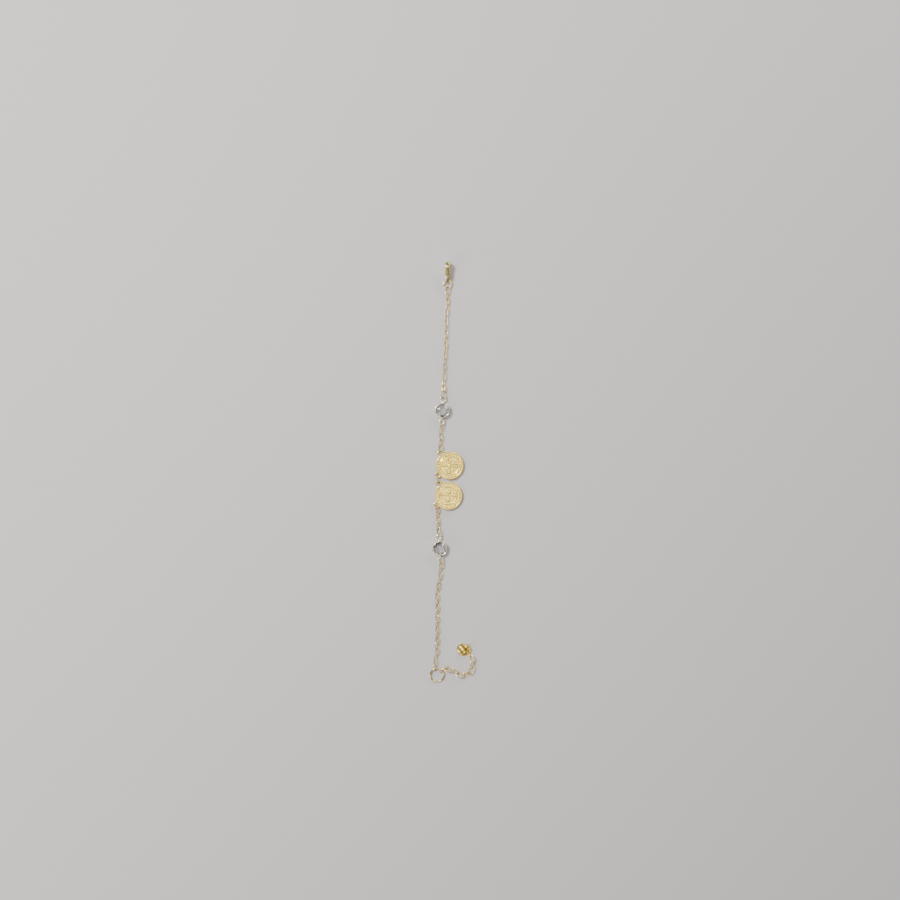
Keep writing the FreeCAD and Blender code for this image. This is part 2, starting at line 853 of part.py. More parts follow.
def place_setting(node, stone, point, heading, neighbour):
    """Put a setting after a joint and return its far loop's centre."""
    reach = loop_reach("eyelet", neighbour, LOOP_PLAY)
    near = point + direction(heading) * reach
    centre = near + direction(heading) * size("eyelet_distance")
    spot = Placement(Vector(centre.x, centre.y, 0), rotation(heading))
    nodes[node].Placement = spot
    nodes[stone].Placement = spot
    return near, centre + direction(heading) * size("eyelet_distance")


def place_medal(node, ear, facing):
    """Hang a medal from its first ear and return its second ear's centre."""
    centre = ear - compass(facing - 45) * size("medal_ear_distance")
    nodes[node].Placement = Placement(
        Vector(centre.x, centre.y, 0), Rotation(Vector(0, 0, 1), facing)
    )
    return centre + compass(facing + 45) * size("medal_ear_distance")


def place_clasp(eye, heading):
    lean = math.degrees(
        math.asin((size("clasp_head_radius") - size("clasp_eye_radius")) / size("clasp_head_distance"))
    )
    turn = Rotation(Vector(0, 0, 1), heading + 90)
    turn = turn.multiply(Rotation(Vector(1, 0, 0), 90))
    turn = turn.multiply(Rotation(Vector(0, 0, 1), lean))
    for node in ("clasp_body", "clasp_lever", "clasp_rivet", "clasp_spring"):
        thing = nodes[node]
        thing.Placement = Placement(eye, turn).multiply(thing.Placement)
    return Placement(eye, turn)


def lay_out():
    cable_wire = size("cable_wire")
    large_wire = size("large_wire")
    eyelet_wire = size("eyelet_wire")

    # jump ring and clasp
    centre = Vector(-2.8, 82.7, 0.93)
    ring = round_ring("jump_ring_loop", "jump_ring")
    dip = -2.3
    ring.Placement = Placement(centre, rotation(0, 0, dip))
    keep("clasp_jump_ring", ring)
    radius = (size("jump_ring_diameter") - size("jump_ring_wire")) / 2
    grip = centre - direction(0, dip) * radius
    pivots["clasp_jump_ring", "clasp_body"] = grip
    eye = Vector(grip.x, grip.y + 0.04, size("clasp_eye_radius"))
    clasp = place_clasp(eye, 0)
    pivots["clasp_body", "clasp_lever"] = clasp.multVec(Vector(*PIVOT, 0))
    pivots["upper_chain_01", "clasp_jump_ring"] = centre
    point = centre + direction(0, dip) * loop_reach("jump_ring", size("first_wire"), LOOP_PLAY)

    # upper chain and its connector ring
    count = len(UPPER_HEADINGS)
    levels = [CABLE_LEVEL] * count
    levels[0] = 0.89
    levels[-2] = 0.95
    levels[-1] = size("eyelet_level")
    items = []
    for number, heading in enumerate(UPPER_HEADINGS):
        node = "upper_chain_%02d" % ((number + 3) // 2)
        kind = "first" if number == 0 else "cable"
        items.append((node, kind, heading, rolls(count)[number], levels[number]))
    items.append(("upper_connector_ring", "connector", -1.5, -39.0, size("eyelet_level")))
    point = lay_run(
        point, items, (size("jump_ring_wire"), LOOP_PLAY), (eyelet_wire, LOOP_PLAY)
    )

    # upper setting
    near, far = place_setting(
        "upper_crystal_setting", "upper_crystal", point, -3.7, size("connector_wire")
    )
    pivots["upper_connector_ring", "upper_crystal_setting"] = near
    pivots["upper_crystal_setting", "upper_short_link_1"] = far
    point = far + direction(-3.7) * loop_reach("eyelet", cable_wire, LOOP_PLAY)

    # short chain to the upper medal
    kinds = ("cable", "cable", "cable", "large", "large")
    levels = (1.0, 0.85, 0.92, LARGE_LEVEL, size("medal_ear_level"))
    items = [
        ("upper_short_link_%d" % (n + 1), kinds[n], SHORT_A_HEADINGS[n], rolls(5)[n], levels[n])
        for n in range(5)
    ]
    point = lay_run(point, items, (eyelet_wire, LOOP_PLAY), (eyelet_wire, LOOP_PLAY))
    ear = point + direction(-1) * loop_reach("eyelet", large_wire, LOOP_PLAY)
    pivots["upper_short_link_5", "upper_medal"] = ear
    ear = place_medal("upper_medal", ear, 173.5)
    pivots["upper_medal", "medal_link"] = ear

    # the link between the medals, and the lower medal
    point = ear + direction(6.5) * loop_reach("eyelet", large_wire, LOOP_PLAY)
    items = [("medal_link", "large", 6.5, -43.0, size("medal_ear_level"))]
    point = lay_run(point, items, (eyelet_wire, LOOP_PLAY), (eyelet_wire, LOOP_PLAY))
    ear = point + direction(6.5) * loop_reach("eyelet", large_wire, LOOP_PLAY)
    pivots["medal_link", "lower_medal"] = ear
    ear = place_medal("lower_medal", ear, 173.8)
    pivots["lower_medal", "lower_short_link_1"] = ear

    # short chain to the lower setting
    point = ear + direction(8) * loop_reach("eyelet", cable_wire, LOOP_PLAY)
    levels = (0.8, CABLE_LEVEL, 0.92, 0.95, size("eyelet_level"))
    items = [
        ("lower_short_link_%d" % (n + 1), kinds[n], SHORT_B_HEADINGS[n], rolls(5)[n], levels[n])
        for n in range(5)
    ]
    point = lay_run(point, items, (eyelet_wire, LOOP_PLAY), (eyelet_wire, LOOP_PLAY))
    near, far = place_setting("lower_crystal_setting", "lower_crystal", point, 4.9, large_wire)
    pivots["lower_short_link_5", "lower_crystal_setting"] = near
    pivots["lower_crystal_setting", "lower_connector_link"] = far
    point = far + direction(4.9) * loop_reach("eyelet", large_wire, LOOP_PLAY)

    # lower chain
    count = len(LOWER_HEADINGS)
    items = [("lower_connector_link", "large", 2, ROLL, 0.86)]
    for number, heading in enumerate(LOWER_HEADINGS):
        node = "lower_chain_%02d" % (number // 2 + 1)
        level = CABLE_LEVEL
        roll = -rolls(count)[number]
        if number == count - 2:
            level = 0.84
        if number == count - 1:
            level = RING_LEVEL
            roll = -55.0
        items.append((node, "cable", heading, roll, level))
    end_wire = size("end_ring_wire")
    point = lay_run(point, items, (eyelet_wire, LOOP_PLAY), (end_wire, END_PLAY))

    # end ring, leaning up a little at the side that the chain and extender hold
    reach = loop_reach("end_ring", cable_wire, END_PLAY)
    centre = point + direction(17) * reach
    centre = Vector(centre.x, centre.y, 0.674)
    ring = round_ring("end_ring_loop", "end_ring")
    ring.Placement = Placement(centre, rotation(176.5, 0, 6.7))
    keep("end_ring", ring)
    pivots["lower_chain_10", "end_ring"] = centre

    # extender, charm ring and charm
    extender_wire = size("extender_wire")
    point = centre + compass(42) * loop_reach("end_ring", extender_wire, END_PLAY)
    point.z = RING_LEVEL
    pivots["end_ring", "extender_link_1"] = Vector(point)
    count = len(EXTENDER_HEADINGS)
    items = []
    for number, heading in enumerate(EXTENDER_HEADINGS):
        level = EXTENDER_LEVEL
        roll = rolls(count, 38.0)[number]
        if number == 0:
            level = 0.99
            roll = 43.0
        if number == count - 1:
            level = 0.95
        node = "extender_link_%d" % (number + 1)
        items.append((node, "extender", heading, roll, level))
    items.append(("charm_ring", "charm_ring", 220, 55.0, size("charm_loop_level")))
    loop_wire = size("charm_loop_wire")
    point = lay_run(point, items, (end_wire, END_PLAY), (loop_wire, LOOP_PLAY))
    loop = point + direction(220) * loop_reach("charm_loop", size("charm_ring_wire"), LOOP_PLAY)
    pivots["charm_ring", "shell_charm"] = loop
    facing = 35.0
    centre = loop - compass(facing - 64) * size("charm_loop_distance")
    nodes["shell_charm"].Placement = Placement(
        Vector(centre.x, centre.y, 0), Rotation(Vector(0, 0, 1), facing)
    )


def centre_on_origin():
    """Move everything so that the bounding box is centred on the Z axis."""
    box = FreeCAD.BoundBox()
    for thing in nodes.values():
        box.add(thing.Shape.optimalBoundingBox(False))
    shift = Vector(-(box.XMin + box.XMax) / 2, -(box.YMin + box.YMax) / 2, 0)
    for thing in nodes.values():
        spot = thing.Placement
        thing.Placement = Placement(spot.Base + shift, spot.Rotation)
    for pair in pivots:
        pivots[pair] = pivots[pair] + shift
    return shift


def check_all():
    for thing in doc.Objects:
        bad = [word for word in thing.State if word in ("Invalid", "Error")]
        if bad:
            raise RuntimeError("%s: %s" % (thing.Label, bad))
    for node, thing in nodes.items():
        if thing.Shape.isNull() or not thing.Shape.isValid():
            raise RuntimeError("bad shape: " + node)
        if not thing.Shape.Solids:
            raise RuntimeError("no solid: " + node)


def write_parts():
    os.makedirs("parts", exist_ok=True)
    for node, thing in nodes.items():
        thing.Shape.exportStep("parts/%s.step" % node)


fill_sheet()
crystal_setting("upper_crystal_setting")
crystal_setting("lower_crystal_setting")
crystal("upper_crystal")
crystal("lower_crystal")
medal("upper_medal", plain_cross)
medal("lower_medal", inner_ring)
clasp_body()
clasp_lever()
clasp_rivet()
clasp_spring()
shell_charm()
lay_out()
doc.recompute()
centre_on_origin()
doc.recompute()
check_all()
write_parts()
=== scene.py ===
import json
import math

import bmesh
import bpy
import numpy as np
from mathutils import Matrix, Vector
from mathutils.noise import fractal

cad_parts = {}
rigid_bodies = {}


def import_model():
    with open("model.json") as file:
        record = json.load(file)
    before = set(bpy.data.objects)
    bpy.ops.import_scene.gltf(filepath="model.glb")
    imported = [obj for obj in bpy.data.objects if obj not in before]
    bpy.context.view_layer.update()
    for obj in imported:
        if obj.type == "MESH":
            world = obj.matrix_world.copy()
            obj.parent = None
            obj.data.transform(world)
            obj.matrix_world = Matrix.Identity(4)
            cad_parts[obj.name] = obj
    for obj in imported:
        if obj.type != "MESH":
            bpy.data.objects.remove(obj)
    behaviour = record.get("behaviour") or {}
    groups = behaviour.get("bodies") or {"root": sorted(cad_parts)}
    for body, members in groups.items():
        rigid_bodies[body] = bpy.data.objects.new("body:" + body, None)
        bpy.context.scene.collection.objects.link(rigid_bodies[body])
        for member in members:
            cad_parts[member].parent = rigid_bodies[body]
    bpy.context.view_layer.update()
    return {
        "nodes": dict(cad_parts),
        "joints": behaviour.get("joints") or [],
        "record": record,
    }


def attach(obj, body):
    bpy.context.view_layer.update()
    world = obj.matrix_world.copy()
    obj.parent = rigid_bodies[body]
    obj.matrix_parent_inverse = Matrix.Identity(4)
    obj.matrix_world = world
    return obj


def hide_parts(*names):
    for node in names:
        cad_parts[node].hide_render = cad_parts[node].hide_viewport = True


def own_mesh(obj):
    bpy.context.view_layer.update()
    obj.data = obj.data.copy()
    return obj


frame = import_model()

# A bracelet chain laid flat: clasp, wire links, two crystal settings, two medals,
# end ring, extender and a ribbed charm. Lengths are millimetres and angles radians,
# unless a name ends in _M for metres or _DEGREES. Every piece's place is read from
# the frame's nodes and hinges.

MM = 0.001

# bent wire: the depths of seams and wear are shares of its radius
ROUND_STEPS = 18
LINK_STEPS = 72
RING_STEPS = 112
ROUND_WITHIN = 0.05
SOLDER_GROOVE = 0.05
CUT_GROOVE = 0.16
GROOVE_WIDTH = 0.05
WEAR_DEPTH = 0.04
# cross-sections near the seam, and the swelling beside it, in groove widths
SEAM_SECTIONS = (-3, -2, -1.2, -0.5, 0, 0.5, 1.2, 2, 3)
SEAM_SWELL = 2.4

# small soldered loops
EYELET_RADIUS = 1.125
EYELET_WIRE = 0.275
CHARM_LOOP_RADIUS = 0.55
CHARM_LOOP_WIRE = 0.2

# crystal settings
EYELET_LEVEL = 1.26
BEZEL_RADIUS = 3.25
BEZEL_STEPS = 168
LIP_CENTRE = (3.03, 2.17)
LIP_ROUNDING = 0.22
LIP_LOBES = 28
LIP_LOBE_DEPTH = 0.012
NECK_WIDE = 0.95
NECK_NARROW = 0.3
NECK_THICK = 0.34
NECK_ROWS = 14

# the stone's blank, and its rows of facets: how many, the first turn and the slope in
# degrees, and a radius and level that each facet passes through
STONE_RADIUS = 2.94
STONE_DEPTH = 2.35
STONE_MIDDLE = 1.675
STONE_FACETS = (
    (8, 0.0, 35.0, 2.93, 1.93),
    (8, 22.5, 20.0, 1.46, 2.84),
    (16, 11.25, 41.0, 2.91, 1.92),
    (8, 0.0, -24.0, 2.93, 1.79),
    (16, 11.25, -27.0, 2.91, 1.77),
)

# share of a disc's radius that its loops' bores never reach
FIXED_SHARE = 0.86

# medals
MEDAL_RADIUS = 6.1
MEDAL_TOP = 1.5
MEDAL_FIELD = 1.3
MEDAL_STEPS = 320
RIM_SLOPE = (5.36, 5.56)
RIM_ROUNDING = 0.18
BACK_CIRCLE = 4.6
BACK_RISE = 0.05
EAR_DISTANCE = 6.6
EAR_LEVEL = 0.9
EAR_BORE = 0.93
BEADS = 24
BEAD_CIRCLE = 4.85
BEAD_RADIUS = 0.24
BEAD_RISE = 0.13
RELIEF_RISE = 0.15
STIPPLE_RISE = 0.006
STIPPLE_SCALE = 4.5
# the relief and the stipple fade out from the second radius to the first
FIELD_EDGE = (5.4, 5.2)

# upper medal: the cross's arms and their sunken middles, the boss and the circle
CROSS_WAIST = 0.36
CROSS_FLARE = 0.17
CROSS_REACH = 3.6
CROSS_SUNK = 0.06
CROSS_BOSS = 0.62
CROSS_BOSS_RISE = 0.17
CROSS_CIRCLE = 4.25
CROSS_CIRCLE_RISE = 0.07

# lower medal: the inner ring, the bar across it and the bosses either side
INNER_RING = 3.87
BAR_REACH = 3.8
BAR_RISE = 0.12
BOSS_DISTANCE = 1.75
BOSS_SIZE = 1.0
BOSS_SLOPE = 0.35

# pellets in each quarter of a medal's field: x, y, radius and rise
CROSS_PELLETS = ((1.75, 1.75, 0.4, 0.15), (2.6, 1.5, 0.2, 0.1), (1.5, 2.6, 0.2, 0.1))
RING_PELLETS = ((1.95, 1.3, 0.3, 0.12), (2.75, 0.75, 0.22, 0.1))

# charm
CHARM_RADIUS = 2.7
CHARM_TOP = 1.7
CHARM_EDGE = 0.45
CHARM_HOLLOW = 0.15
CHARM_RINGS = 56
CHARM_STEPS = 240
CHARM_LOOP_DISTANCE = 2.95
CHARM_LOOP_LEVEL = 0.85
CHARM_BORE = 0.42
CHARM_FACING = math.radians(35)
CHARM_LOOP_TURNS = [math.radians(turn) for turn in (-64, -30, 4)]
RIB_RADIUS = 0.3
RIB_RISE = 0.28
RIB_PLACES = (-1.3, 0.0, 1.3)
RIB_FADE = (2.15, 2.65)
LINE_PLACES = (0.65, 1.95)
LINE_DEPTH = 0.05

# clasp, in its own frame: X from the eye to the head, Y up, Z across
CLASP_EYE = 1.15
CLASP_EYE_BORE = 0.62
CLASP_HEAD = 2.3
CLASP_REACH = 5.9
CLASP_THICKNESS = 2.3
CLASP_ROUNDING = 0.62
CLASP_PIVOT = (3.35, 0.8)
CLASP_MOUTH = (6.05, 0.0)
MOUTH_RADIUS = 1.3
SLOT_HALF = 0.55
LEVER_THICKNESS = 1.0
LEVER_HUB = 0.62
LEVER_GAP = 0.06
RIVET_RADIUS = 0.3
RIVET_BORE = 0.33
RIVET_STEPS = 40
SPRING_DEGREES = (-122, -4)
SPRING_RADIUS = 1.115
SPRING_HALF = (0.055, 0.4)
SPRING_STEPS = 40
SPRING_CORNER = 0.3
WELD = 0.004
POLISH_WIDTH = 0.05
POLISH_DEGREES = 32
CREASE_DEGREES = 38

# the patterns in every metal, in cells per metre
TONE_SCALE = 420
GRAIN_SCALE = 2600
SCRATCH_SCALE = 16000

# each metal: bright tone, deep tone, soil and painted shade tone, roughness and how far soil and
# painted shade spread in a recess
METALS = {
    "chain_gold": ((0.92, 0.72, 0.34), (0.84, 0.61, 0.24), (0.10, 0.055, 0.015), 0.17, 0.4),
    "clasp_gold": ((0.90, 0.70, 0.33), (0.84, 0.61, 0.25), (0.10, 0.055, 0.015), 0.17, 0.6),
    "medal_gold": ((0.96, 0.73, 0.19), (0.89, 0.61, 0.12), (0.10, 0.05, 0.01), 0.17, 0.5),
    "setting_gold": ((0.90, 0.82, 0.62), (0.83, 0.72, 0.49), (0.22, 0.17, 0.09), 0.16, 0.4),
    "spring_steel": ((0.62, 0.62, 0.63), (0.5, 0.5, 0.51), (0.1, 0.09, 0.08), 0.28, 0.3),
}
CRYSTAL_TINT = (0.97, 0.98, 0.98)
CRYSTAL_IOR = 1.6
CRYSTAL_ALPHA = 0.84
FLOOR_TONE = (0.54, 0.515, 0.495)
SKY_TONE = (0.93, 0.95, 1.0)
SKY_STRENGTH = 0.25

# soft lights that face the frame's origin: name, place and size in metres, power in watts
LIGHTS = (
    ("overhead", (-0.1, 0.08, 0.95), (0.7, 0.7), 2.9),
    ("key", (-0.45, 0.35, 0.75), (0.26, 0.22), 10.5),
    ("fill", (-0.6, -0.45, 0.3), (0.3, 0.5), 3.0),
    ("rim", (0.4, 0.7, 0.32), (0.5, 0.16), 3.5),
)

# where the camera stands over the chain and looks straight down, and the floor below
CAMERA_M = (-0.001, 0.0098, 0.55)
LENS = 50
SENSOR = 36
FLOOR_HALF_M = 3.0
FLOOR_DROP = 0.01

bodies = frame["record"]["behaviour"]["bodies"]
body_of = {node: body for body, held in bodies.items() for node in held}
slot_of = {part["node"]: part["material_slot"] for part in frame["record"]["subparts"]}


# ---------------------------------------------------------------- materials


def new_material(name):
    """A material that starts from a plain Principled shader, and its node tree."""
    material = bpy.data.materials.new(name)
    material.use_nodes = True
    return material, material.node_tree


def add_node(tree, kind, **inputs):
    """A node of this kind, with these numbers on its sockets."""
    node = tree.nodes.new(kind)
    for word, value in inputs.items():
        node.inputs[word].default_value = value
    return node


def ramp(tree, source, stops):
    """A grey ramp through stops of (place, level)."""
    node = tree.nodes.new("ShaderNodeValToRGB")
    tree.links.new(source, node.inputs["Fac"])
    row = node.color_ramp.elements
    while len(row) < len(stops):
        row.new(0.5)
    for element, (place, level) in zip(row, stops):
        element.position = place
        element.color = (level, level, level, 1)
    return node.outputs["Color"]


def mix(tree, share, first, second):
    """The blend of two colours, each a plain colour or another node's output."""
    node = tree.nodes.new("ShaderNodeMix")
    node.data_type = "RGBA"
    tree.links.new(share, node.inputs["Factor"])
    for socket, value in ((node.inputs[6], first), (node.inputs[7], second)):
        if isinstance(value, tuple):
            socket.default_value = value
        else:
            tree.links.new(value, socket)
    return node.outputs[2]


def noise(tree, place, scale, detail):
    node = add_node(tree, "ShaderNodeTexNoise", Scale=scale, Detail=detail)
    tree.links.new(place, node.inputs["Vector"])
    return node.outputs["Fac"]


def opaque(tone):
    """A colour with full alpha."""
    return (*tone, 1)


def worn_metal_with_painted_shade(name, bright, deep, soil_and_shade_tone, rough, recess):
    """Plated metal: drifting tone, soil and painted shade in the recesses, rubbed edges with a
    painted highlight and fine scratches.
    """
    material, tree = new_material(name)
    shader = tree.nodes["Principled BSDF"]
    shader.inputs["Metallic"].default_value = 1.0
    place = tree.nodes.new("ShaderNodeTexCoord").outputs["Object"]

    drift = ramp(tree, noise(tree, place, TONE_SCALE, 3), ((0.35, 0.0), (0.65, 1.0)))
    colour = mix(tree, drift, opaque(bright), opaque(deep))
    # ambient occlusion darkens the colour towards the soil tone in recesses, where parts cross and
    # where pieces meet the floor: partly soil, partly painted shade
    shade_occlusion = add_node(tree, "ShaderNodeAmbientOcclusion", Distance=recess * MM)
    shade_occlusion.samples = 8
    soil_and_shade_mask = ramp(tree, shade_occlusion.outputs["AO"], ((0.35, 1.0), (0.95, 0.0)))
    colour = mix(tree, soil_and_shade_mask, colour, opaque(soil_and_shade_tone))
    # convex edges, picked out by pointiness, get a brighter tone: rubbed wear and a painted
    # highlight
    corner = tree.nodes.new("ShaderNodeNewGeometry").outputs["Pointiness"]
    rubbed_and_highlit = [min(1.0, level * 1.08) for level in bright]
    colour = mix(tree, ramp(tree, corner, ((0.52, 0.0), (0.6, 1.0))), colour, opaque(rubbed_and_highlit))
    tree.links.new(colour, shader.inputs["Base Color"])

    grain = noise(tree, place, GRAIN_SCALE, 5)
    gloss = ramp(tree, grain, ((0.3, rough - 0.05), (0.7, rough + 0.09)))
    tree.links.new(gloss, shader.inputs["Roughness"])

    stretched = tree.nodes.new("ShaderNodeMapping")
    stretched.inputs["Scale"].default_value = (1.0, 0.08, 1.0)
    stretched.inputs["Rotation"].default_value = (0.3, 0.2, 0.6)
    tree.links.new(place, stretched.inputs["Vector"])
    scratches = noise(tree, stretched.outputs["Vector"], SCRATCH_SCALE, 4)
    bump = add_node(tree, "ShaderNodeBump", Strength=0.22, Distance=0.006 * MM)
    tree.links.new(scratches, bump.inputs["Height"])
    tree.links.new(bump.outputs["Normal"], shader.inputs["Normal"])
    return material


def clear_crystal():
    """Colourless cut glass with faint smears on its facets."""
    material, tree = new_material("clear_crystal")
    shader = tree.nodes["Principled BSDF"]
    shader.inputs["Base Color"].default_value = opaque(CRYSTAL_TINT)
    shader.inputs["Transmission Weight"].default_value = 1.0
    shader.inputs["IOR"].default_value = CRYSTAL_IOR
    shader.inputs["Alpha"].default_value = CRYSTAL_ALPHA
    place = tree.nodes.new("ShaderNodeTexCoord").outputs["Object"]
    smears = ramp(tree, noise(tree, place, 900, 4), ((0.45, 0.0), (0.8, 0.08)))
    tree.links.new(smears, shader.inputs["Roughness"])
    return material


def pale_floor():
    material, tree = new_material("pale_floor")
    shader = tree.nodes["Principled BSDF"]
    shader.inputs["Base Color"].default_value = opaque(FLOOR_TONE)
    shader.inputs["Roughness"].default_value = 0.85
    return material


MATERIALS = {name: worn_metal_with_painted_shade(name, *looks) for name, looks in METALS.items()}
MATERIALS["crystal"] = clear_crystal()


# ---------------------------------------------------------------- mesh helpers


def grid_faces(rows, columns, wrap_rows=False):
    """Quads over a grid whose columns close on themselves."""
    faces = []
    for row in range(rows if wrap_rows else rows - 1):
        below = row * columns
        above = (row + 1) % rows * columns
        for column in range(columns):
            after = (column + 1) % columns
            faces.append((below + column, below + after, above + after, above + column))
    return faces


def capped_faces(rows, columns):
    """The same for a closed tube, with a face over each end."""
    faces = grid_faces(rows, columns)
    faces.append(tuple(range(columns)))
    faces.append(tuple((rows - 1) * columns + n for n in range(columns)))
    return faces


def arc_points(centre, radius, start, end, count):
    """Points on an arc, from one turn in degrees to another."""
    turns = [math.radians(start + (end - start) * n / (count - 1)) for n in range(count)]
    return [(centre[0] + radius * math.cos(t), centre[1] + radius * math.sin(t)) for t in turns]


def turn_outward(mesh):
    """Make every face of a closed mesh look outward."""
    turned = bmesh.new()
    turned.from_mesh(mesh)
    bmesh.ops.recalc_face_normals(turned, faces=turned.faces)
    turned.to_mesh(mesh)
    turned.free()


def add_object(name, data):
    """An object in the scene, holding a mesh, a light or a camera."""
    thing = bpy.data.objects.new(name, data)
    bpy.context.scene.collection.objects.link(thing)
    return thing


def add_piece(name, points, faces, node, smooth=True):
    """A mesh piece in metres, riding where its CAD node rides and finished like it."""
    mesh = bpy.data.meshes.new(name)
    mesh.from_pydata([tuple(point) for point in points], [], faces)
    mesh.validate()
    turn_outward(mesh)
    for face in mesh.polygons:
        face.use_smooth = smooth
    return dress(add_object(name, mesh), node)


def dress(piece, node):
    """Give a piece its CAD node's material and body, and let it take the node's place."""
    piece.data.materials.clear()
    piece.data.materials.append(MATERIALS[slot_of[node]])
    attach(piece, body_of[node])
    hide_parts(node)
    return piece


def hinge(first, second):
    """Where the hinge between two bodies stands, in millimetres."""
    for joint in frame["joints"]:
        if {joint["parent"], joint["child"]} == {first, second}:
            return Vector(joint["pos_m"]) / MM
    raise RuntimeError("no hinge between %s and %s" % (first, second))


def compass(turn):
    """The level direction at this turn from X."""
    return Vector((math.cos(turn), math.sin(turn), 0))


def standing(centre, facing):
    """A place on the surface: local X at this turn, local Z up."""
    return Matrix.Translation(Vector((centre.x, centre.y, 0))) @ Matrix.Rotation(facing, 4, "Z")


def placed(points, place):
    """Local millimetre points, as metres in the frame."""
    return [(place @ Vector(point)) * MM for point in points]


# ---------------------------------------------------------------- wire loops


def loose_parts(node):
    """Each separate surface of a CAD node as its corners (n, 3) and triangles (m, 3)."""
    mesh = bmesh.new()
    mesh.from_mesh(frame["nodes"][node].data)
    bmesh.ops.remove_doubles(mesh, verts=mesh.verts, dist=1e-7)
    bmesh.ops.triangulate(mesh, faces=mesh.faces)
    mesh.verts.index_update()
    part_of = {}
    count = 0
    for seed in mesh.verts:
        if seed.index in part_of:
            continue
        waiting = [seed]
        part_of[seed.index] = count
        while waiting:
            for edge in waiting.pop().link_edges:
                for corner in edge.verts:
                    if corner.index not in part_of:
                        part_of[corner.index] = count
                        waiting.append(corner)
        count += 1
    points = np.array([corner.co[:] for corner in mesh.verts]) / MM
    triangles = np.array([[corner.index for corner in face.verts] for face in mesh.faces])
    owner = np.array([part_of[number] for number in triangles[:, 0]])
    mesh.free()
    return [(points, triangles[owner == number]) for number in range(count)]


def fit_loop(points, triangles):
    """The place of a bent wire, and its length, width and wire thickness."""
    corners = points[triangles]
    cross = np.cross(corners[:, 1] - corners[:, 0], corners[:, 2] - corners[:, 0])
    area = np.linalg.norm(cross, axis=1)[:, None] / 2
    spots = corners.mean(axis=1)
    middle = (spots * area).sum(axis=0) / area.sum()
    spread = ((spots - middle) * area).T @ (spots - middle)
    _, axes = np.linalg.eigh(spread)
    normal = Vector(axes[:, 0])
    along = Vector(axes[:, 2])
    if normal.z < 0:
        normal = -normal
    used = points[np.unique(triangles)] - middle
    sizes = [np.ptp(used @ axes[:, number]) for number in (2, 1, 0)]
    if sizes[0] - sizes[1] < ROUND_WITHIN:
        along = Vector((0, -1, 0))
        along = (along - normal * along.dot(normal)).normalized()
    if along.y > 0:
        along = -along
    across = normal.cross(along)
    turn = np.array([along, across, normal]).T
    local = used @ turn
    centre = middle + turn @ ((local.min(axis=0) + local.max(axis=0)) / 2)
    place = Matrix.Translation(Vector(centre)) @ Matrix(turn.tolist()).to_4x4()
    return place, sizes


def loop_point(travel, half, bend):
    """Centre line of a stadium from the middle of its +Y side: point and outward way."""
    turn = math.pi * bend
    lap = 4 * half + 2 * turn
    travel %= lap
    if travel < half:
        return (-travel, bend), (0, 1)
    travel -= half
    if travel < turn:
        angle = math.pi / 2 + travel / bend
        out = (math.cos(angle), math.sin(angle))
        return (-half + bend * out[0], bend * out[1]), out
    travel -= turn
    if travel < 2 * half:
        return (-half + travel, -bend), (0, -1)
    travel -= 2 * half
    if travel < turn:
        angle = -math.pi / 2 + travel / bend
        out = (math.cos(angle), math.sin(angle))
        return (half + bend * out[0], bend * out[1]), out
    travel -= turn
    return (half - travel, bend), (0, 1)


def bent_wire(length, width, wire, steps, groove):
    """A bent wire with the seam where its ends meet and wear inside its two ends."""
    bend = (width - wire) / 2
    half = max(0.0, (length - width) / 2)
    lap = 4 * half + 2 * math.pi * bend
    near_seam = [GROOVE_WIDTH * place for place in SEAM_SECTIONS]
    even = near_seam[-1] * 1.4
    travels = near_seam + [even + (lap - 2 * even) * n / steps for n in range(steps + 1)]
    points = []
    for travel in travels:
        spot, out = loop_point(travel, half, bend)
        gap = min(travel % lap, lap - travel % lap) / GROOVE_WIDTH
        swell = 0.5 * groove * math.exp(-((gap - SEAM_SWELL) ** 2))
        thick = wire / 2 * (1 + swell - groove * math.exp(-gap * gap))
        end = max(0.0, abs(out[0]) - 0.8) / 0.2 if half else 0.0
        for step in range(ROUND_STEPS):
            angle = 2 * math.pi * step / ROUND_STEPS
            inward = max(0.0, -math.cos(angle)) ** 3
            reach = thick * (1 - WEAR_DEPTH * inward * end)
            sideways = reach * math.cos(angle)
            x = spot[0] + sideways * out[0]
            y = spot[1] + sideways * out[1]
            points.append((x, y, reach * math.sin(angle)))
    return points, grid_faces(len(travels), ROUND_STEPS, wrap_rows=True)


def add_loops(node):
    """The one or two bent wires of a CAD node, each fitted to the wire that it replaces."""
    parts = [fit_loop(*part) for part in loose_parts(node)]
    parts.sort(key=lambda part: -part[0].translation.y)
    for number, (place, (length, width, wire)) in enumerate(parts):
        is_round = length - width < ROUND_WITHIN
        steps = RING_STEPS if is_round else LINK_STEPS
        groove = CUT_GROOVE if is_round else SOLDER_GROOVE
        points, faces = bent_wire(length, width, wire, steps, groove)
        ending = "_wire" if len(parts) == 1 else "_wire_" + "ab"[number]
        add_piece(node + ending, placed(points, place), faces, node)


def ring_mesh(radius, wire, steps=64):
    """A plain soldered ring."""
    points = []
    for step in range(steps):
        out = compass(2 * math.pi * step / steps)
        for around in range(ROUND_STEPS):
            angle = 2 * math.pi * around / ROUND_STEPS
            spot = out * (radius + wire * math.cos(angle))
            points.append((spot.x, spot.y, wire * math.sin(angle)))
    return points, grid_faces(steps, ROUND_STEPS, wrap_rows=True)


def neck_mesh(start, end):
    """A solder neck along local X: wide at its start, hollow-sided and narrow at its end."""
    points = []
    for row in range(NECK_ROWS):
        share = row / (NECK_ROWS - 1)
        along = start + (end - start) * share
        side = NECK_NARROW + (NECK_WIDE - NECK_NARROW) * (1 - share) ** 2.2
        depth = NECK_THICK * (1 - 0.3 * share)
        for around in range(ROUND_STEPS):
            angle = 2 * math.pi * around / ROUND_STEPS
            points.append((along, side * math.cos(angle), depth * math.sin(angle)))
    return points, capped_faces(NECK_ROWS, ROUND_STEPS)


# ---------------------------------------------------------------- crystal settings


